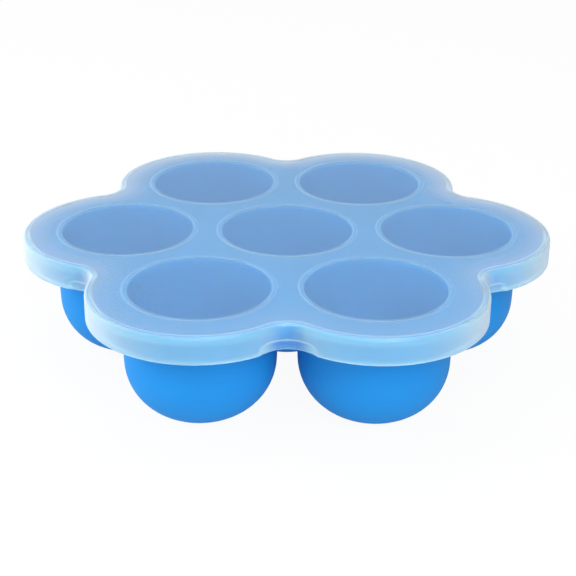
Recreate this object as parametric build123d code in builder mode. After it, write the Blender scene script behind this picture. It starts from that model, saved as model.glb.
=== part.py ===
from build123d import *

import math
import os

# Freezer tray with round cups, and the lid that is pulled over its rim. Both are silicone mouldings.
# Millimetres, +Z up. The origin is the middle of the centre cup's flat base, so the tray stands on Z = 0.
# Every outline is the same flower: a round lobe around each outer cup and a round valley between lobes.

# Layout
outer_cups = 6  # around the centre cup
cup_spacing = 6.3  # clear space between neighbouring cups, just under the flange

# Cups
cup_height = 47.0  # from the flat base up to the top of the flange
mouth_radius = 25.4  # inside, at the top of the flange
cup_wall = 2.8
cup_draft = 1.2  # degrees that the wall leans in
base_round = 21.5  # outside, where the wall turns into the base
mouth_round = 0.8

# Flange and rim of the tray
flange_thickness = 2.4
flange_round = 1.5  # under the flange, where each cup meets it
rim_margin = 9.6  # from the outside of an outer cup out to the rim
rim_valley_radius = 12.0  # between two lobes
rim_depth = 8.1  # height of the rim's outer face
rim_width = 3.4
rim_round = 0.8

# Lid
lid_fit = 0.35  # between the rim and the skirt
lid_wall = 1.5  # the flat top
skirt_wall = 2.4
skirt_depth = 9.9  # from the top of the lid to the bottom of the skirt
shoulder_round = 2.0  # outside, where the top turns into the skirt
skirt_edge_round = 0.6
bead_offset = 1.4  # from the edge of a mouth out to the middle of the bead above it
bead_width = 2.2
bead_height = 0.5

# Thumb recess, low on the skirt in each valley
recess_width = 18.0
recess_height = 3.8
recess_round = 2.6  # the two upper corners
recess_depth = 0.8

# Sizes that follow from these
lobe_step = 360 / outer_cups
cup_radius = mouth_radius + cup_wall
cup_pitch = 2 * cup_radius + cup_spacing  # from the centre cup to each outer cup
rim_lobe_radius = cup_radius + rim_margin
rim_bottom = cup_height - rim_depth
lid_top = cup_height + lid_wall
skirt_bottom = lid_top - skirt_depth
skirt_reach = lid_fit + skirt_wall  # from the rim out to the outside of the skirt
bead_radius = mouth_radius + bead_offset
cup_places = [(0, 0)] + [tuple(place.position)[:2] for place in PolarLocations(cup_pitch, outer_cups)]


def at_height(height):
    """Every cup's middle, at the given height."""
    return Locations(*[(x, y, height) for x, y in cup_places])


def flower(outset):
    """Outline of the rim, moved out by the outset."""
    with BuildSketch() as outline:
        Circle(cup_pitch)
        with PolarLocations(cup_pitch, outer_cups):
            Circle(rim_lobe_radius + outset)
        fillet(outline.vertices().group_by(SortBy.DISTANCE)[0], rim_valley_radius - outset)
    return outline.sketch


def bowl(mouth, corner, depth):
    """Round bowl as a solid, hanging from the XY plane."""
    foot = mouth - depth * math.tan(math.radians(cup_draft))
    with BuildPart() as form:
        with BuildSketch(Plane.XZ) as half:
            Polygon((0, 0), (mouth, 0), (foot, -depth), (0, -depth), align=None)
            fillet(half.vertices().sort_by_distance((foot, -depth, 0))[0], corner)
        revolve(axis=Axis.Z)
    return form.part


def bead():
    """Raised ring with a round top, standing on the XY plane."""
    with BuildPart() as form:
        with BuildSketch(Plane.XZ):
            with BuildLine():
                ends = (bead_radius - bead_width / 2, 0), (bead_radius + bead_width / 2, 0)
                ThreePointArc(ends[0], (bead_radius, bead_height), ends[1])
                Line(*ends)
            make_face()
        revolve(axis=Axis.Z)
    return form.part


with BuildPart() as tray:
    with BuildSketch(Plane.XY.offset(cup_height)):
        add(flower(0))
    extrude(amount=-flange_thickness)
    with at_height(cup_height):
        add(bowl(cup_radius, base_round, cup_height))
    cup_necks = tray.edges().filter_by(GeomType.CIRCLE)
    fillet(cup_necks.filter_by_position(Axis.Z, rim_bottom, cup_height - flange_thickness), flange_round)
    with BuildSketch(Plane.XY.offset(cup_height)):
        add(flower(0))
        add(flower(-rim_width), mode=Mode.SUBTRACT)
    extrude(amount=-rim_depth)
    outline_edges = tray.edges().group_by(Axis.Z)[-1]
    underside_edges = tray.edges().filter_by_position(Axis.Z, rim_bottom - 0.01, rim_bottom + 0.01)
    fillet(outline_edges + underside_edges, rim_round)
    with at_height(cup_height):
        add(bowl(mouth_radius, base_round - cup_wall, cup_height - cup_wall), mode=Mode.SUBTRACT)
    mouths = tray.edges().group_by(Axis.Z)[-1].filter_by(lambda edge: abs(edge.radius - mouth_radius) < 0.01)
    fillet(mouths, mouth_round)
tray.part.label = "tray"

with BuildPart() as thumb_outline:
    with BuildSketch(Plane.YZ.offset(cup_pitch)):
        RectangleRounded(recess_width, 2 * recess_height, recess_round)
    extrude(amount=cup_pitch)

with BuildPart() as thumb_recesses:
    with BuildSketch(Plane.XY.offset(skirt_bottom)):
        add(flower(skirt_reach + recess_depth))
        add(flower(skirt_reach - recess_depth), mode=Mode.SUBTRACT)
    extrude(amount=skirt_depth)
    with Locations((0, 0, skirt_bottom)):
        with PolarLocations(0, outer_cups, start_angle=lobe_step / 2):
            add(thumb_outline.part, mode=Mode.INTERSECT)

with BuildPart() as lid:
    with BuildSketch(Plane.XY.offset(skirt_bottom)):
        add(flower(skirt_reach))
    extrude(amount=skirt_depth)
    fillet(lid.edges().group_by(Axis.Z)[-1], shoulder_round)
    with BuildSketch(Plane.XY.offset(skirt_bottom)):
        add(flower(lid_fit))
    extrude(amount=skirt_depth - lid_wall, mode=Mode.SUBTRACT)
    inner_corner = lid.edges().filter_by_position(Axis.Z, cup_height - 0.01, cup_height + 0.01)
    fillet(inner_corner, rim_round)
    fillet(lid.edges().group_by(Axis.Z)[0], skirt_edge_round)
    add(thumb_recesses.part, mode=Mode.SUBTRACT)
    with at_height(lid_top):
        add(bead())
lid.part.label = "lid"

os.makedirs("parts", exist_ok=True)
export_step(tray.part, "parts/tray.step")
export_step(lid.part, "parts/lid.step")
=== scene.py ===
import math

import bmesh
import bpy
import numpy as np
from mathutils import Matrix, Vector
from mathutils.kdtree import KDTree


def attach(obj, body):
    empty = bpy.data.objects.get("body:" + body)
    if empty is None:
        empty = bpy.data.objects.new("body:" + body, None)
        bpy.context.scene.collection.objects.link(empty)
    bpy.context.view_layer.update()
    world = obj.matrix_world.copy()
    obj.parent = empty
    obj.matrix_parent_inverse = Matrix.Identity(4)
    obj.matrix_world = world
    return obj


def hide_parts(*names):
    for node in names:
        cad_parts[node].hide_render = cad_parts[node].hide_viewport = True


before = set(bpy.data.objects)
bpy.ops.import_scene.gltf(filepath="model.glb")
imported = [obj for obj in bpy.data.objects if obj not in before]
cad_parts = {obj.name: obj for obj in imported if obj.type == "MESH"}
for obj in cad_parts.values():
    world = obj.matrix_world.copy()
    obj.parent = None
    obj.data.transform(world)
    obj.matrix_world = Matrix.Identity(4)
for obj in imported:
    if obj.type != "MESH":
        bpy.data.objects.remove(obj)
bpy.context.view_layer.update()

# ---------------------------------------------------------------- sizes, in metres
# The cups stand on Z = 0, and the centre cup is at the origin.

MM = 0.001

OUTER_CUPS = 6
CUP_PITCH = 62.7 * MM
CUP_HEIGHT = 47.0 * MM
MOUTH_RADIUS = 25.4 * MM
CUP_WALL = 2.8 * MM
CUP_LEAN = math.tan(math.radians(1.2))
BASE_ROUND = 21.5 * MM
MOUTH_ROUND = 0.8 * MM
MOUTH_FIT = 0.98  # share of its round that the mouth's arc takes, with a narrow strip left beside it

FLANGE_THICKNESS = 2.4 * MM
FLANGE_ROUND = 1.5 * MM
NECK_FIT = 1.05  # rounds from the cup's wall out to the flat plate, with a strip left beside the arc
RIM_LOBE_RADIUS = 37.8 * MM
RIM_VALLEY_RADIUS = 12.0 * MM
RIM_DEPTH = 8.1 * MM
RIM_WIDTH = 3.4 * MM
RIM_ROUND = 0.8 * MM
RIM_CORNER = 0.6 * MM  # inside, between the rim and the flange
RIM_LAND = 1.6 * MM  # strip of the flange's underside that belongs to the swept edge

LID_FIT = 0.35 * MM
LID_WALL = 1.5 * MM
LID_REST = 0.15 * MM  # air between the flange and the lid's underside
SKIRT_WALL = 2.4 * MM
SKIRT_DEPTH = 9.9 * MM
SKIRT_EDGE_ROUND = 0.6 * MM
SKIRT_HEM = 1.3 * MM  # height above the skirt's bottom where its edge begins to whiten
SHOULDER_SLACK = 0.02 * MM  # keeps the shoulder's arc clear of the crease

BEAD_OFFSET = 1.4 * MM
BEAD_WIDTH = 2.2 * MM
BEAD_HEIGHT = 0.35 * MM
BEAD_FOOT_ROUND = 0.15 * MM
BEAD_LAND = 0.5 * MM  # flat strip outside the bead that belongs to its round form
BEAD_LOW = (0.35 * MM, 0.4)  # in from the bead's edge, and the share of its height there
BEAD_HIGH = (0.7 * MM, 0.85)

RIDGE_PLACE = -0.2 * MM  # from the rim's outline out to the ridge on the lid's shoulder
RIDGE_HEIGHT = 0.08 * MM
RIDGE_WIDTH = 1.5 * MM
RIDGE_RISE = 0.6 * MM  # width of its inner slope
RIDGE_FALL = 0.5 * MM  # width of its outer slope
RIDGE_ROUND = 0.5 * MM
RIDGE_FOOT_ROUND = 0.2 * MM
RIDGE_LAND = 0.5 * MM  # from where the margin is at its whitest out to the ridge
CREASE_WIDTH = 0.3 * MM

RECESS_WIDTH = 18.0 * MM
RECESS_HEIGHT = 3.8 * MM
RECESS_ROUND = 2.6 * MM
RECESS_DEPTH = 0.8 * MM
RECESS_EDGE = 1.5 * MM  # width of the recess's sloping edge

LID_TOP = CUP_HEIGHT + LID_WALL
SKIRT_BOTTOM = LID_TOP - SKIRT_DEPTH
SKIRT_REACH = LID_FIT + SKIRT_WALL
RIM_BOTTOM = CUP_HEIGHT - RIM_DEPTH
FLANGE_BOTTOM = CUP_HEIGHT - FLANGE_THICKNESS
LOBE_STEP = math.tau / OUTER_CUPS
PLATE_INSET = 8.0 * MM  # from the rim's outline in to where the flat plates begin

# How finely the mouldings are meshed: points around, then the length of a step along each profile
LOBE_STEPS = 80
VALLEY_STEPS = 44
ROUND_STEPS = 96
LEAST_ARC_STEPS = 5
STEP_SLACK = 0.01  # share of a step by which a run may pass its last whole step
RIM_STEP = 0.8 * MM
CUP_STEP = 2.0 * MM
SKIRT_STEP = 0.35 * MM
MARGIN_STEP = 2.5 * MM
INSIDE_STEP = 2.0 * MM
BEAD_STEP = 0.25 * MM
DISC_STEP = 3.0 * MM
DISC_RINGS = (0.3 * MM, 1.0 * MM, 2.0 * MM)  # in from the bead, so that its edge shades cleanly
MERGE_DISTANCE = 0.004 * MM

# ---------------------------------------------------------------- finish of the two silicones

# Both have a fine grain, and clouds that make the gloss and the colour a little uneven
SKIN_STRENGTH = 0.2
SKIN_DEPTH = 0.05 * MM
GLOSS_SPREAD = 0.05
TINT_SPREAD = 0.03
CLOUD_DETAIL = 3.0
GRAIN_DETAIL = 2.0

TRAY_BLUE = (0.012, 0.245, 0.66)
TRAY_GRAIN = 1900.0
TRAY_CLOUDS = 55.0
TRAY_ROUGHNESS = 0.6
TRAY_SPECULAR = 0.17

# The lid blurs what is seen through it, more on the skirt than on the top
LID_GRAIN = 1500.0
LID_CLOUDS = 40.0
LID_ROUGHNESS = 0.42
LID_SPECULAR = 0.1
LID_IOR = 1.41
BLUR_ON_TOP = 0.2
BLUR_ON_SKIRT = 0.42

# How milky the lid is, from 0, clear, to 1. Thick corners and edges are whiter.
TOP_MILK = 0.25
DISC_MILK = 0.155
UNDER_MILK = 0.10
MARGIN_MILK = 0.26
MARGIN_RISE = ((0.6, 0.15), (0.3, 0.45))  # share of the plates' inset, and share of the rise in milk there
RIDGE_MILK = 0.42
CREASE_MILK = 0.36
SHOULDER_MILK = 0.34
SHOULDER_BAND = 2.3 * MM  # how far down the shoulder's milk reaches
SHOULDER_FADE = 0.8 * MM
SKIRT_MILK = 0.26
EDGE_MILK = 0.4
BEAD_MILK = 0.33
BEAD_SIDE_MILK = TOP_MILK + 0.06
BEAD_HEM_MILK = TOP_MILK + 0.04
BEAD_EVEN = 0.55  # how much of the beads' slope both layers leave out
# Milk of the front recess's painted shade, a dark sheet standing in for the gap between the cups behind it
RECESS_SHADE_MILK = 0.46
RECESS_EDGE_MILK = 0.22
NO_MILK = 1.0  # for the tray, whose finish doesn't read it

# The skirt is clearer in the valleys; the front recess's middle has painted shade of the gap between the
# cups
VALLEY_HALF = 5.5 * MM
VALLEY_CLEAR = 0.65
GAP_HALF = 6.5 * MM
GAP_DARKENS = 0.65

# Painted sheen: the margin of the top whitens towards the outline
MARGIN_SHEEN_WIDTH = 13.0 * MM
MARGIN_SHEEN_LEAST = 0.08
TOP_SLACK = 0.05 * MM  # points this close below the lid's top still count as its top
SKIRT_SLACK = 0.1 * MM

# The milky colours are tinted blue: painted light from the blue tray under and behind the lid
# Colours of the milky layer, with the milk at which one gives way to the next
MILK_DISC = (0.27, 0.60, 1.0)
MILK_PLATE = (0.37, 0.63, 0.82)
MILK_BLUE = (0.42, 0.70, 0.95)
MILK_WHITE = (0.44, 0.88, 0.98)
# Painted shade colour for the middle of the front recess, where the gap between the cups lies behind it
RECESS_PAINTED_SHADE = (0.08, 0.28, 0.70)
PLATE_TO_DISC = (0.24, 0.15)
PLATE_TO_BLUE = (0.255, 0.3)

# Colours of the clear layer, of what it lets through to the tray, and of the white sheen over both
CLEAR_TOP = (0.95, 0.97, 0.93)
CLEAR_SKIRT = (0.85, 1.0, 0.93)
SHADE_OF_SKIRT = (0.38, 0.60, 0.81)
HAZE_TOP = (0.66, 0.66, 0.73)
HAZE_SKIRT = (0.60, 0.69, 0.82)

# Where the sheen starts and is full, from 0, seen straight on, to 1, edge on, then its most and its bend
MARGIN_SHEEN = (0.5, 0.8, 0.75, 1.3)
SKIRT_SHEEN = (0.08, 1.0, 1.0, 1.4)

# ---------------------------------------------------------------- studio

FLOOR_HALF = 6.0
FLOOR_GREY = (0.8, 0.8, 0.8, 1)
FLOOR_WHITE = 0.94  # share of plain white that the camera sees, straight or through the lid
FLOOR_GLOW = 0.5  # share of plain white that lights the cups from below
WORLD_STRENGTH = 0.4

CAMERA_DISTANCE = 498.2 * MM
CAMERA_PITCH = math.radians(22.25)
CAMERA_YAW = math.radians(0.43)
CAMERA_ROLL = math.radians(-0.45)
FOCAL_PIXELS = 1263.1
IMAGE_PIXELS = 576
PICTURE_SHIFT = (-0.88, -58.84)


# ---------------------------------------------------------------- outlines and profiles


def heading(angle):
    """The level direction at this angle from +X."""
    return Vector((math.cos(angle), math.sin(angle)))


def flower_outline():
    """Points around the rim, anticlockwise: a lobe around each outer cup, a valley between two lobes."""
    reach = RIM_LOBE_RADIUS + RIM_VALLEY_RADIUS
    half_pitch = CUP_PITCH * math.sin(LOBE_STEP / 2)
    valley_reach = CUP_PITCH * math.cos(LOBE_STEP / 2) + math.sqrt(reach**2 - half_pitch**2)
    valley_half = math.asin(half_pitch / reach)
    lobe_half = LOBE_STEP / 2 + valley_half
    points = []
    for lobe in range(OUTER_CUPS):
        to_lobe = lobe * LOBE_STEP
        to_valley = to_lobe + LOBE_STEP / 2
        for step in range(LOBE_STEPS):
            turn = to_lobe + lobe_half * (2 * step / LOBE_STEPS - 1)
            points.append(heading(to_lobe) * CUP_PITCH + heading(turn) * RIM_LOBE_RADIUS)
        for step in range(VALLEY_STEPS):
            turn = to_valley + math.pi - valley_half * (2 * step / VALLEY_STEPS - 1)
            points.append(heading(to_valley) * valley_reach + heading(turn) * RIM_VALLEY_RADIUS)
    return points


def rounded(corners, step, long_step=0.0):
    """Fills in a path of (across, height, round, milk) corners: arcs at the corners, short runs between."""
    long_step = long_step or step
    path = []
    for index, (x, z, radius, milk) in enumerate(corners):
        here = Vector((x, z))
        if radius == 0:
            path.append((here, milk))
            continue
        back = (Vector(corners[index - 1][:2]) - here).normalized()
        ahead = (Vector(corners[index + 1][:2]) - here).normalized()
        half = back.angle(ahead) / 2
        centre = here + (back + ahead).normalized() * (radius / math.sin(half))
        to_start = here + back * (radius / math.tan(half)) - centre
        to_end = here + ahead * (radius / math.tan(half)) - centre
        sweep = math.pi - 2 * half
        count = max(LEAST_ARC_STEPS, math.ceil(sweep * radius / step))
        for number in range(count + 1):
            turn = sweep * number / count
            spoke = (to_start * math.sin(sweep - turn) + to_end * math.sin(turn)) / math.sin(sweep)
            path.append((centre + spoke, milk))
    filled = [path[0]]
    for (start, milk_a), (end, milk_b) in zip(path, path[1:]):
        count = max(1, math.ceil((end - start).length / long_step - STEP_SLACK))
        for number in range(1, count + 1):
            share = number / count
            filled.append((start.lerp(end, share), milk_a + (milk_b - milk_a) * share))
    return filled


def add_object(name, data):
    thing = bpy.data.objects.new(name, data)
    bpy.context.scene.collection.objects.link(thing)
    return thing


def profile(name, path, across=0.0):
    """A path as a line of edges that the sweep reads, X outwards from the given distance and Y downwards."""
    mesh = bpy.data.meshes.new(name)
    mesh.from_pydata(
        [(point.x - across, -point.y, 0) for point, milk in path],
        [(number, number + 1) for number in range(len(path) - 1)],
        [],
    )
    milk = mesh.attributes.new("milk", "FLOAT", "POINT")
    milk.data.foreach_set("value", [value for point, value in path])
    reach = mesh.attributes.new("reach", "FLOAT", "POINT")
    reach.data.foreach_set("value", [point.x for point, value in path])
    return add_object(name, mesh)


# ---------------------------------------------------------------- the moulding, as Geometry Nodes


def put(tree, kind, feeds=None, **settings):
    """Adds a node. Each feed is a value, an output of another node, or a list of outputs."""
    node = tree.nodes.new(kind)
    for name, value in settings.items():
        setattr(node, name, value)
    for socket, value in (feeds or {}).items():
        if isinstance(value, bpy.types.NodeSocket):
            tree.links.new(value, node.inputs[socket])
        elif isinstance(value, list):
            for source in value:
                tree.links.new(source, node.inputs[socket])
        else:
            node.inputs[socket].default_value = value
    return node


MOULDING_INPUTS = {
    "Outline": "NodeSocketGeometry",
    "Edge profile": "NodeSocketObject",
    "Upper profile": "NodeSocketObject",
    "Lower profile": "NodeSocketObject",
    "Upper hole": "NodeSocketFloat",
    "Lower hole": "NodeSocketFloat",
    "Upper inset": "NodeSocketFloat",
    "Lower inset": "NodeSocketFloat",
    "Upper height": "NodeSocketFloat",
    "Lower height": "NodeSocketFloat",
    "Upper milk": "NodeSocketFloat",
    "Lower milk": "NodeSocketFloat",
    "Pitch": "NodeSocketFloat",
    "Outer cups": "NodeSocketInt",
    "Round steps": "NodeSocketInt",
    "Finish": "NodeSocketMaterial",
}


def moulding_tree():
    """One silicone moulding: an edge swept along the outline, two plates, and a round form at each cup."""
    tree = bpy.data.node_groups.new("moulding", "GeometryNodeTree")
    for name, kind in MOULDING_INPUTS.items():
        tree.interface.new_socket(name, in_out="INPUT", socket_type=kind)
    tree.interface.new_socket("Moulding", in_out="OUTPUT", socket_type="NodeSocketGeometry")
    given = put(tree, "NodeGroupInput").outputs
    outward = put(tree, "GeometryNodeInputNormal").outputs["Normal"]

    def made(kind, feeds, **settings):
        """Adds a node and gives its first output."""
        return put(tree, kind, feeds, **settings).outputs[0]

    def noted(form, name, value, kind):
        feeds = {"Geometry": form, "Name": name, "Value": value}
        return made("GeometryNodeStoreNamedAttribute", feeds, data_type=kind)

    def swept(path, line):
        source = put(tree, "GeometryNodeObjectInfo", {"Object": given[line]}).outputs["Geometry"]
        curve = made("GeometryNodeMeshToCurve", {"Mesh": source})
        return made("GeometryNodeCurveToMesh", {"Curve": path, "Profile Curve": curve})

    def upright(path):
        return made("GeometryNodeSetCurveNormal", {"Curve": path}, mode="Z_UP")

    outline = noted(upright(given["Outline"]), "outward", outward, "FLOAT_VECTOR")
    pieces = [swept(outline, "Edge profile")]

    ring = made("GeometryNodeMeshCircle", {"Vertices": given["Outer cups"], "Radius": given["Pitch"]})
    around = made("GeometryNodeMeshToPoints", {"Mesh": ring})
    middle = made("GeometryNodePoints", {"Count": 1})
    cups = made("GeometryNodeJoinGeometry", {"Geometry": [around, middle]})

    def at_cups(form):
        placed = made("GeometryNodeInstanceOnPoints", {"Points": cups, "Instance": form})
        return made("GeometryNodeRealizeInstances", {"Geometry": placed})

    for side in ("Upper", "Lower"):
        circle_feeds = {"Resolution": given["Round steps"], "Radius": given[side + " hole"]}
        circle = made("GeometryNodeCurvePrimitiveCircle", circle_feeds, mode="RADIUS")
        pieces.append(at_cups(swept(upright(circle), side + " profile")))
        shift_feeds = {0: outward, "Scale": given[side + " inset"]}
        shift = put(tree, "ShaderNodeVectorMath", shift_feeds, operation="SCALE").outputs["Vector"]
        edge = made("GeometryNodeSetPosition", {"Geometry": outline, "Offset": shift})
        border = made("GeometryNodeJoinGeometry", {"Geometry": [edge, at_cups(circle)]})
        plate = made("GeometryNodeFillCurve", {"Curve": border}, mode="TRIANGLES")
        height = made("ShaderNodeCombineXYZ", {"Z": given[side + " height"]})
        raised = made("GeometryNodeTransform", {"Geometry": plate, "Translation": height})
        pieces.append(noted(raised, "milk", given[side + " milk"], "FLOAT"))

    whole = made("GeometryNodeJoinGeometry", {"Geometry": pieces})
    joined = made("GeometryNodeMergeByDistance", {"Geometry": whole, "Distance": MERGE_DISTANCE})
    smooth = made("GeometryNodeSetShadeSmooth", {"Geometry": joined})
    solid = made("GeometryNodeRealizeInstances", {"Geometry": smooth})
    finished = made("GeometryNodeSetMaterial", {"Geometry": solid, "Material": given["Finish"]})
    put(tree, "NodeGroupOutput", {"Moulding": finished})
    return tree


MOULDING = moulding_tree()


def mould(name, sizes):
    """Runs the moulding tree on the flower outline and keeps the result as a plain closed mesh."""
    sizes = {"Pitch": CUP_PITCH, "Outer cups": OUTER_CUPS, "Round steps": ROUND_STEPS, **sizes}
    points = flower_outline()
    curve = bpy.data.curves.new(name + "_outline", "CURVE")
    curve.dimensions = "3D"
    spline = curve.splines.new("POLY")
    spline.points.add(len(points) - 1)
    for slot, point in zip(spline.points, points):
        slot.co = (point.x, point.y, 0, 1)
    spline.use_cyclic_u = True
    holder = add_object(name + "_outline", curve)
    modifier = holder.modifiers.new("moulding", "NODES")
    modifier.node_group = MOULDING
    for item in MOULDING.interface.items_tree:
        if item.in_out == "INPUT" and item.name in sizes:
            modifier[item.identifier] = sizes[item.name]
    depsgraph = bpy.context.evaluated_depsgraph_get()
    mesh = bpy.data.meshes.new_from_object(
        holder.evaluated_get(depsgraph), preserve_all_data_layers=True, depsgraph=depsgraph
    )
    used_up = [holder] + [value for value in sizes.values() if isinstance(value, bpy.types.Object)]
    for thing in used_up:
        bpy.data.objects.remove(thing)
    turn_outward(mesh)
    return add_object(name, mesh)


def turn_outward(mesh):
    """Makes every face point out of the closed moulding."""
    form = bmesh.new()
    form.from_mesh(mesh)
    bmesh.ops.recalc_face_normals(form, faces=form.faces)
    form.to_mesh(mesh)
    form.free()


# ---------------------------------------------------------------- materials


MIX_FIRST, MIX_SECOND, MIX_RESULT = 6, 7, 2  # the colour sockets of a mix node


def reckon(tree, operation, *values):
    """The result of one sum, from numbers or other nodes' outputs."""
    return put(tree, "ShaderNodeMath", dict(enumerate(values)), operation=operation).outputs[0]


def remap(tree, value, start=0.0, end=1.0, low=0.0, high=1.0):
    """Turns the value's run from start to end into a run from low to high, held at both ends."""
    limits = {"Value": value, "From Min": start, "From Max": end, "To Min": low, "To Max": high}
    return put(tree, "ShaderNodeMapRange", limits).outputs["Result"]


def mixed(tree, share, first, second):
    """The first colour where the share is 0 and the second where it is 1. Each may be a node's output."""
    feeds = {0: share}
    for socket, colour in ((MIX_FIRST, first), (MIX_SECOND, second)):
        feeds[socket] = colour if isinstance(colour, bpy.types.NodeSocket) else (*colour, 1)
    return put(tree, "ShaderNodeMix", feeds, data_type="RGBA").outputs[MIX_RESULT]


def layered(tree, share, first, second):
    """The first shader where the share is 0 and the second where it is 1."""
    return put(tree, "ShaderNodeMixShader", {0: share, 1: first, 2: second}).outputs[0]


def tinted(tree, clouds, colour):
    """The colour, a little darker and lighter with the clouds."""
    darker = [channel * (1 - TINT_SPREAD) for channel in colour]
    lighter = [min(1, channel * (1 + TINT_SPREAD)) for channel in colour]
    return mixed(tree, clouds, darker, lighter)


def skin_of(tree, fine, coarse, roughness):
    """The mould's fine grain, and clouds that make the gloss and the colour a little uneven."""
    place = put(tree, "ShaderNodeTexCoord").outputs["Object"]
    clouds, grain = (
        put(tree, "ShaderNodeTexNoise", {"Vector": place, "Scale": scale, "Detail": detail}).outputs["Fac"]
        for scale, detail in ((coarse, CLOUD_DETAIL), (fine, GRAIN_DETAIL))
    )
    gloss = remap(tree, clouds, low=roughness - GLOSS_SPREAD, high=roughness + GLOSS_SPREAD)
    return clouds, gloss, grain


def grained(tree, grain, normal=None):
    """The given normal, or else the surface's own, roughened by the grain."""
    bump = put(tree, "ShaderNodeBump", {"Height": grain, "Strength": SKIN_STRENGTH, "Distance": SKIN_DEPTH})
    if normal is not None:
        tree.links.new(normal, bump.inputs["Normal"])
    return bump.outputs["Normal"]


def new_finish(name):
    material = bpy.data.materials.new(name)
    material.use_nodes = True
    return material, material.node_tree, material.node_tree.nodes["Principled BSDF"]


def blue_finish():
    material, tree, shader = new_finish("blue_silicone")
    clouds, gloss, grain = skin_of(tree, TRAY_GRAIN, TRAY_CLOUDS, TRAY_ROUGHNESS)
    tree.links.new(tinted(tree, clouds, TRAY_BLUE), shader.inputs["Base Color"])
    tree.links.new(gloss, shader.inputs["Roughness"])
    tree.links.new(grained(tree, grain), shader.inputs["Normal"])
    shader.inputs["Specular IOR Level"].default_value = TRAY_SPECULAR
    return material


def frosted_finish():
    """See-through silicone under milk and a white sheen, both strongest on the skirt and at the margin."""
    material, tree, milky = new_finish("frosted_silicone")
    clouds, gloss, grain = skin_of(tree, LID_GRAIN, LID_CLOUDS, LID_ROUGHNESS)
    milk, margin, skirt, level, recess = (
        put(tree, "ShaderNodeAttribute", attribute_name=name).outputs["Fac"]
        for name in ("milk", "margin", "skirt", "level", "recess")
    )

    # The normal: where the level attribute says so, it leans less than the surface does
    tilt = reckon(tree, "SUBTRACT", 1.0, level)
    squash = put(tree, "ShaderNodeCombineXYZ", {"X": tilt, "Y": tilt, "Z": 1.0}).outputs["Vector"]
    outward = put(tree, "ShaderNodeNewGeometry").outputs["Normal"]
    upright = put(tree, "ShaderNodeVectorMath", {0: outward, 1: squash}, operation="MULTIPLY")
    even = grained(tree, grain, upright.outputs["Vector"])

    # The milky layer
    # Its colours carry painted light from the blue tray under it
    over_cups = remap(tree, milk, *PLATE_TO_DISC)
    on_flat = mixed(tree, over_cups, tinted(tree, clouds, MILK_PLATE), MILK_DISC)
    on_top = mixed(tree, remap(tree, milk, *PLATE_TO_BLUE), on_flat, MILK_BLUE)
    outside = mixed(tree, skirt, on_top, tinted(tree, clouds, MILK_WHITE))
    # In the middle of the front recess the milky colour turns to painted shade, for the gap between the cups
    # behind it
    tree.links.new(mixed(tree, recess, outside, RECESS_PAINTED_SHADE), milky.inputs["Base Color"])
    tree.links.new(gloss, milky.inputs["Roughness"])
    tree.links.new(even, milky.inputs["Normal"])
    milky.inputs["Specular IOR Level"].default_value = LID_SPECULAR

    # The clear layer, which also lets the lamps' light through to the tray
    clear = put(
        tree,
        "ShaderNodeBsdfPrincipled",
        {
            "Base Color": mixed(tree, skirt, CLEAR_TOP, CLEAR_SKIRT),
            "Normal": even,
            "Roughness": remap(tree, skirt, low=BLUR_ON_TOP, high=BLUR_ON_SKIRT),
            "IOR": LID_IOR,
            "Transmission Weight": 1.0,
        },
    )
    lamp_ray = put(tree, "ShaderNodeLightPath").outputs["Is Shadow Ray"]
    way = put(tree, "ShaderNodeBsdfTransparent", {"Color": mixed(tree, skirt, CLEAR_TOP, SHADE_OF_SKIRT)})
    glassy = layered(tree, lamp_ray, clear.outputs[0], way.outputs[0])
    silicone = layered(tree, milk, glassy, milky.outputs[0])

    # The white sheen of slanting surfaces
    facing = put(tree, "ShaderNodeLayerWeight", {"Blend": 0.5, "Normal": even}).outputs["Facing"]

    def slant_white(where, start, end, most, bend):
        bent = reckon(tree, "POWER", remap(tree, facing, start, end), bend)
        return reckon(tree, "MULTIPLY", reckon(tree, "MULTIPLY", bent, most), where)

    white = reckon(tree, "MAXIMUM", slant_white(margin, *MARGIN_SHEEN), slant_white(skirt, *SKIRT_SHEEN))
    haze = put(tree, "ShaderNodeBsdfDiffuse", {"Color": mixed(tree, skirt, HAZE_TOP, HAZE_SKIRT)})
    sheened = layered(tree, white, silicone, haze.outputs[0])
    tree.links.new(sheened, tree.nodes["Material Output"].inputs["Surface"])
    return material


# ---------------------------------------------------------------- the tray

outer_mouth = MOUTH_RADIUS + CUP_WALL
inner_foot = MOUTH_RADIUS - (CUP_HEIGHT - CUP_WALL) * CUP_LEAN
outer_foot = outer_mouth - CUP_HEIGHT * CUP_LEAN
outer_neck = outer_mouth - FLANGE_THICKNESS * CUP_LEAN
mouth_edge = MOUTH_RADIUS + MOUTH_ROUND
neck_edge = outer_neck + FLANGE_ROUND * NECK_FIT

tray_edge = rounded(
    [
        (-PLATE_INSET, CUP_HEIGHT, 0, NO_MILK),
        (0, CUP_HEIGHT, RIM_ROUND, NO_MILK),
        (0, RIM_BOTTOM, RIM_ROUND, NO_MILK),
        (-RIM_WIDTH, RIM_BOTTOM, RIM_ROUND, NO_MILK),
        (-RIM_WIDTH, FLANGE_BOTTOM, RIM_CORNER, NO_MILK),
        (-RIM_WIDTH - RIM_LAND, FLANGE_BOTTOM, 0, NO_MILK),
    ],
    RIM_STEP,
)
cup_inside = rounded(
    [
        (mouth_edge, CUP_HEIGHT, 0, NO_MILK),
        (MOUTH_RADIUS, CUP_HEIGHT, MOUTH_ROUND * MOUTH_FIT, NO_MILK),
        (inner_foot, CUP_WALL, BASE_ROUND - CUP_WALL, NO_MILK),
        (0, CUP_WALL, 0, NO_MILK),
    ],
    CUP_STEP,
)
cup_outside = rounded(
    [
        (neck_edge, FLANGE_BOTTOM, 0, NO_MILK),
        (outer_neck, FLANGE_BOTTOM, FLANGE_ROUND, NO_MILK),
        (outer_foot, 0, BASE_ROUND, NO_MILK),
        (0, 0, 0, NO_MILK),
    ],
    CUP_STEP,
)
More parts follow.
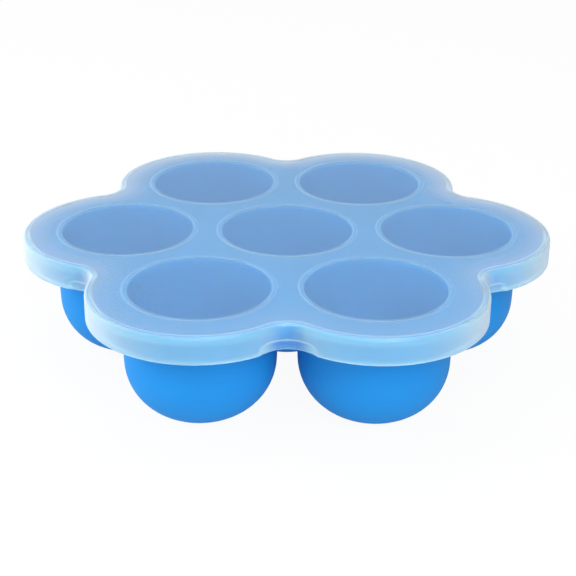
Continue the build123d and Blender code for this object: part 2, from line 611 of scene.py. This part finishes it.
tray = mould(
    "tray_silicone",
    {
        "Edge profile": profile("tray_edge", tray_edge),
        "Upper profile": profile("cup_inside", cup_inside, mouth_edge),
        "Lower profile": profile("cup_outside", cup_outside, neck_edge),
        "Upper hole": mouth_edge,
        "Lower hole": neck_edge,
        "Upper inset": -PLATE_INSET,
        "Lower inset": -RIM_WIDTH - RIM_LAND,
        "Upper height": CUP_HEIGHT,
        "Lower height": FLANGE_BOTTOM,
        "Upper milk": NO_MILK,
        "Lower milk": NO_MILK,
        "Finish": blue_finish(),
    },
)

# ---------------------------------------------------------------- the lid

lid_under = CUP_HEIGHT + LID_REST
ridge_top = LID_TOP + RIDGE_HEIGHT
ridge_end = RIDGE_PLACE + RIDGE_WIDTH
shoulder_start = ridge_end + CREASE_WIDTH
shoulder_round = SKIRT_REACH - shoulder_start - SHOULDER_SLACK
band_bottom = LID_TOP - SHOULDER_BAND
hem_top = SKIRT_BOTTOM + SKIRT_HEM
lid_margin = rounded(
    [
        (-PLATE_INSET, LID_TOP, 0, TOP_MILK),
        *[
            (-PLATE_INSET * place, LID_TOP, 0, TOP_MILK + rise * (MARGIN_MILK - TOP_MILK))
            for place, rise in MARGIN_RISE
        ],
        (RIDGE_PLACE - RIDGE_LAND, LID_TOP, 0, MARGIN_MILK),
        (RIDGE_PLACE, LID_TOP, RIDGE_FOOT_ROUND, MARGIN_MILK),
        (RIDGE_PLACE + RIDGE_RISE, ridge_top, RIDGE_ROUND, RIDGE_MILK),
        (ridge_end - RIDGE_FALL, ridge_top, RIDGE_ROUND, RIDGE_MILK),
        (ridge_end, LID_TOP, RIDGE_FOOT_ROUND, CREASE_MILK),
        (shoulder_start, LID_TOP, 0, CREASE_MILK),
        (SKIRT_REACH, LID_TOP, shoulder_round, SHOULDER_MILK),
        (SKIRT_REACH, band_bottom, 0, SHOULDER_MILK),
    ],
    SKIRT_STEP,
    MARGIN_STEP,
)
skirt_outside = rounded(
    [
        (SKIRT_REACH, band_bottom, 0, SHOULDER_MILK),
        (SKIRT_REACH, band_bottom - SHOULDER_FADE, 0, SKIRT_MILK),
        (SKIRT_REACH, hem_top, 0, SKIRT_MILK),
        (SKIRT_REACH, SKIRT_BOTTOM, SKIRT_EDGE_ROUND, EDGE_MILK),
        (LID_FIT, SKIRT_BOTTOM, SKIRT_EDGE_ROUND, EDGE_MILK),
        (LID_FIT, hem_top, 0, UNDER_MILK),
    ],
    SKIRT_STEP,
)
lid_inside = rounded(
    [
        (LID_FIT, hem_top, 0, UNDER_MILK),
        (LID_FIT, lid_under, RIM_ROUND, UNDER_MILK),
        (-PLATE_INSET, lid_under, 0, UNDER_MILK),
    ],
    SKIRT_STEP,
    INSIDE_STEP,
)
lid_edge = lid_margin + skirt_outside[1:] + lid_inside[1:]

bead_radius = MOUTH_RADIUS + BEAD_OFFSET
bead_outside = bead_radius + BEAD_WIDTH / 2
bead_inside = bead_radius - BEAD_WIDTH / 2
bead_start = bead_outside + BEAD_LAND
low_in, low_share = BEAD_LOW
high_in, high_share = BEAD_HIGH
bead_low = LID_TOP + low_share * BEAD_HEIGHT
bead_high = LID_TOP + high_share * BEAD_HEIGHT
lid_bead = rounded(
    [
        (bead_start, LID_TOP, 0, TOP_MILK),
        (bead_outside, LID_TOP, BEAD_FOOT_ROUND, BEAD_SIDE_MILK),
        (bead_outside - low_in, bead_low, 0, BEAD_MILK),
        (bead_outside - high_in, bead_high, 0, BEAD_MILK),
        (bead_radius, LID_TOP + BEAD_HEIGHT, 0, TOP_MILK),
        (bead_inside + high_in, bead_high, 0, BEAD_SIDE_MILK),
        (bead_inside + low_in, bead_low, 0, BEAD_SIDE_MILK),
        (bead_inside, LID_TOP, BEAD_FOOT_ROUND, BEAD_HEM_MILK),
        *[(bead_inside - ring, LID_TOP, 0, DISC_MILK) for ring in DISC_RINGS],
        (0, LID_TOP, 0, DISC_MILK),
    ],
    BEAD_STEP,
    DISC_STEP,
)
lid_flat = rounded([(MOUTH_RADIUS, lid_under, 0, UNDER_MILK), (0, lid_under, 0, UNDER_MILK)], DISC_STEP)
lid = mould(
    "lid_silicone",
    {
        "Edge profile": profile("lid_edge", lid_edge),
        "Upper profile": profile("lid_bead", lid_bead, bead_start),
        "Lower profile": profile("lid_flat", lid_flat, MOUTH_RADIUS),
        "Upper hole": bead_start,
        "Lower hole": MOUTH_RADIUS,
        "Upper inset": -PLATE_INSET,
        "Lower inset": -PLATE_INSET,
        "Upper height": LID_TOP,
        "Lower height": lid_under,
        "Upper milk": TOP_MILK,
        "Lower milk": UNDER_MILK,
        "Finish": frosted_finish(),
    },
)


def column(mesh, name, width=1):
    """An attribute of the mesh's vertices as an array: a number each, or three."""
    values = np.zeros(len(mesh.vertices) * width)
    mesh.attributes[name].data.foreach_get("value" if width == 1 else "vector", values)
    return values if width == 1 else values.reshape(-1, width)


def how_far_out(mesh):
    """How far outside the rim's outline each point of the swept edge is, and 0 for the rest."""
    return column(mesh, "reach") * np.hypot(*column(mesh, "outward", 3)[:, :2].T)


def across_valley(spots):
    """How far each point is from the middle plane of the nearest valley."""
    valley = (np.floor(np.arctan2(spots[:, 1], spots[:, 0]) / LOBE_STEP) + 0.5) * LOBE_STEP
    return spots[:, 1] * np.cos(valley) - spots[:, 0] * np.sin(valley)


def recess_press(spots, reach):
    """How deep in a thumb recess each point of the skirt is, from 0, outside it, to 1, on its floor."""
    aside = np.abs(across_valley(spots)) - RECESS_WIDTH / 2 + RECESS_ROUND
    over = spots[:, 2] - SKIRT_BOTTOM - RECESS_HEIGHT + RECESS_ROUND
    outside = np.hypot(np.maximum(aside, 0), np.maximum(over, 0)) + np.minimum(np.maximum(aside, over), 0)
    press = np.clip((RECESS_ROUND - outside) / RECESS_EDGE + 0.5, 0, 1)
    return press * press * (3 - 2 * press) * np.clip((reach - LID_FIT) / SKIRT_WALL, 0, 1)


def frontness(spots):
    """1 in the valley that faces -Y, and next to nothing in the others."""
    return np.clip(-spots[:, 1] / np.maximum(np.hypot(spots[:, 0], spots[:, 1]), MM), 0, 1) ** 4


def gap_shade(spots):
    """How much painted shade of the gap between the cups a point of the front recess takes: least at its
    ends.
    """
    return frontness(spots) * np.exp(-((across_valley(spots) / GAP_HALF) ** 4))


def press_recesses(mesh):
    """Presses the thumb recess into the outside of the skirt in each valley, with a milkier edge."""
    spots = column(mesh, "position", 3)
    press = recess_press(spots, column(mesh, "reach"))
    spots -= column(mesh, "outward", 3) * (press * RECESS_DEPTH)[:, None]
    mesh.vertices.foreach_set("co", spots.ravel())
    on_skirt = how_far_out(mesh) > SKIRT_REACH - SKIRT_SLACK
    thin = np.exp(-((across_valley(spots) / VALLEY_HALF) ** 2)) * on_skirt
    milk = column(mesh, "milk") * (1 - VALLEY_CLEAR * thin)
    # Only the front recess takes the milk of its painted shade
    milk += (RECESS_SHADE_MILK - milk) * press * frontness(spots)
    milk += RECESS_EDGE_MILK * 4 * press * (1 - press)
    mesh.attributes["milk"].data.foreach_set("value", milk)
    mesh.update()


def note_places(mesh):
    """Notes on the lid's points what its finish reads: margin, skirt, level and recess, all from 0 to 1."""
    spots = column(mesh, "position", 3)
    points = flower_outline()
    outline = KDTree(len(points))
    for index, point in enumerate(points):
        outline.insert((point.x, point.y, 0), index)
    outline.balance()
    depth = np.array([outline.find((x, y, 0))[2] for x, y, z in spots])
    below_top = LID_TOP - TOP_SLACK - spots[:, 2]
    far_out = how_far_out(mesh)
    flat = (below_top < 0) & ((far_out < RIDGE_PLACE - MM) | (far_out == 0))
    recess = recess_press(spots, column(mesh, "reach"))
    skirt = np.clip((far_out - RIDGE_PLACE - RIDGE_WIDTH) / MM, 0, 1)
    skirt *= np.clip((spots[:, 2] - SKIRT_BOTTOM) / (2 * SKIRT_EDGE_ROUND), 0, 1)
    notes = {
        # Painted sheen on the margin of the top, strongest at the outline
        "margin": np.clip(1 - depth / MARGIN_SHEEN_WIDTH, MARGIN_SHEEN_LEAST, 1) * np.clip(1 - below_top / MM, 0, 1),
        # Painted shade: in the middle of the front recess the skirt whitens less, for the gap between the
        # cups behind it
        "skirt": skirt * (1 - GAP_DARKENS * recess * gap_shade(spots)),
        "level": BEAD_EVEN * flat,
        # Where the front recess takes its colour of painted shade
        "recess": recess**3 * gap_shade(spots),
    }
    for name, values in notes.items():
        mesh.attributes.new(name, "FLOAT", "POINT").data.foreach_set("value", values)


press_recesses(lid.data)
note_places(lid.data)

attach(tray, "tray")
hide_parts("tray")
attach(lid, "lid")
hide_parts("lid")

# ---------------------------------------------------------------- floor, light and camera

floor_mesh = bpy.data.meshes.new("floor")
floor_corners = [(x * FLOOR_HALF, y * FLOOR_HALF, 0) for x, y in ((-1, -1), (1, -1), (1, 1), (-1, 1))]
floor_mesh.from_pydata(floor_corners, [], [(0, 1, 2, 3)])
floor = add_object("floor", floor_mesh)
floor_paint = bpy.data.materials.new("floor_paint")
floor_paint.use_nodes = True
floor_nodes = floor_paint.node_tree
matt = put(floor_nodes, "ShaderNodeBsdfDiffuse", {"Color": FLOOR_GREY})
bright = put(floor_nodes, "ShaderNodeEmission", {"Color": (1, 1, 1, 1), "Strength": 1.0})
ray = put(floor_nodes, "ShaderNodeLightPath").outputs
straight = reckon(floor_nodes, "MAXIMUM", ray["Is Camera Ray"], ray["Is Transmission Ray"])
glow = reckon(floor_nodes, "MULTIPLY", ray["Is Diffuse Ray"], FLOOR_GLOW)
share = reckon(floor_nodes, "MULTIPLY_ADD", straight, FLOOR_WHITE, glow)
pale = layered(floor_nodes, share, matt.outputs[0], bright.outputs[0])
floor_nodes.links.new(pale, floor_nodes.nodes["Material Output"].inputs["Surface"])
floor_mesh.materials.append(floor_paint)

scene = bpy.context.scene
scene.view_settings.view_transform = "Standard"
world = bpy.data.worlds.new("studio")
world.use_nodes = True
world.node_tree.nodes["Background"].inputs["Color"].default_value = (1.0, 1.0, 1.0, 1)
world.node_tree.nodes["Background"].inputs["Strength"].default_value = WORLD_STRENGTH
scene.world = world


def softbox(name, place, aim_height, size, power, in_gloss=False, through_lid=True):
    """A square studio lamp. The low ones are left out of the gloss, or they would glare on the flat lid."""
    lamp = bpy.data.lights.new(name, "AREA")
    lamp.shape = "SQUARE"
    lamp.size = size
    lamp.energy = power
    holder = add_object(name, lamp)
    holder.location = place
    aim = Vector((0, 0, aim_height)) - Vector(place)
    holder.rotation_euler = aim.to_track_quat("-Z", "Y").to_euler()
    holder.visible_glossy = in_gloss
    holder.visible_transmission = through_lid


softbox("top_lamp", place=(0.0, 0.1, 1.35), aim_height=0.04, size=1.0, power=6.0, in_gloss=True)
softbox("front_lamp", place=(0.25, -1.2, 0.35), aim_height=0.04, size=0.6, power=3.5)
softbox("left_lamp", place=(-1.1, -0.05, 0.5), aim_height=0.03, size=0.6, power=10.5, through_lid=False)
softbox("back_lamp", place=(-0.95, 0.6, 0.22), aim_height=0.04, size=0.5, power=1.6)
softbox("key_lamp", place=(0.24, -0.87, 0.78), aim_height=0.04, size=0.45, power=6.2)

forward = Vector((0, math.cos(CAMERA_PITCH), -math.sin(CAMERA_PITCH)))
upward = Vector((0, math.sin(CAMERA_PITCH), math.cos(CAMERA_PITCH)))
sideways = Vector((1, 0, 0))
right = sideways * math.cos(CAMERA_ROLL) - upward * math.sin(CAMERA_ROLL)
top = sideways * math.sin(CAMERA_ROLL) + upward * math.cos(CAMERA_ROLL)
turn = Matrix((right, top, -forward)).transposed().to_4x4()
swing = Matrix.Translation((0, 0, LID_TOP)) @ Matrix.Rotation(-CAMERA_YAW, 4, "Z")
camera_data = bpy.data.cameras.new("camera")
camera_data.sensor_width = 36.0
camera_data.lens = FOCAL_PIXELS * camera_data.sensor_width / IMAGE_PIXELS
camera_data.shift_x = -PICTURE_SHIFT[0] / IMAGE_PIXELS
camera_data.shift_y = PICTURE_SHIFT[1] / IMAGE_PIXELS
camera_data.clip_start = 0.01
camera_data.clip_end = 50.0
camera = add_object("camera", camera_data)
camera.matrix_world = swing @ Matrix.Translation(-forward * CAMERA_DISTANCE) @ turn
scene.camera = camera
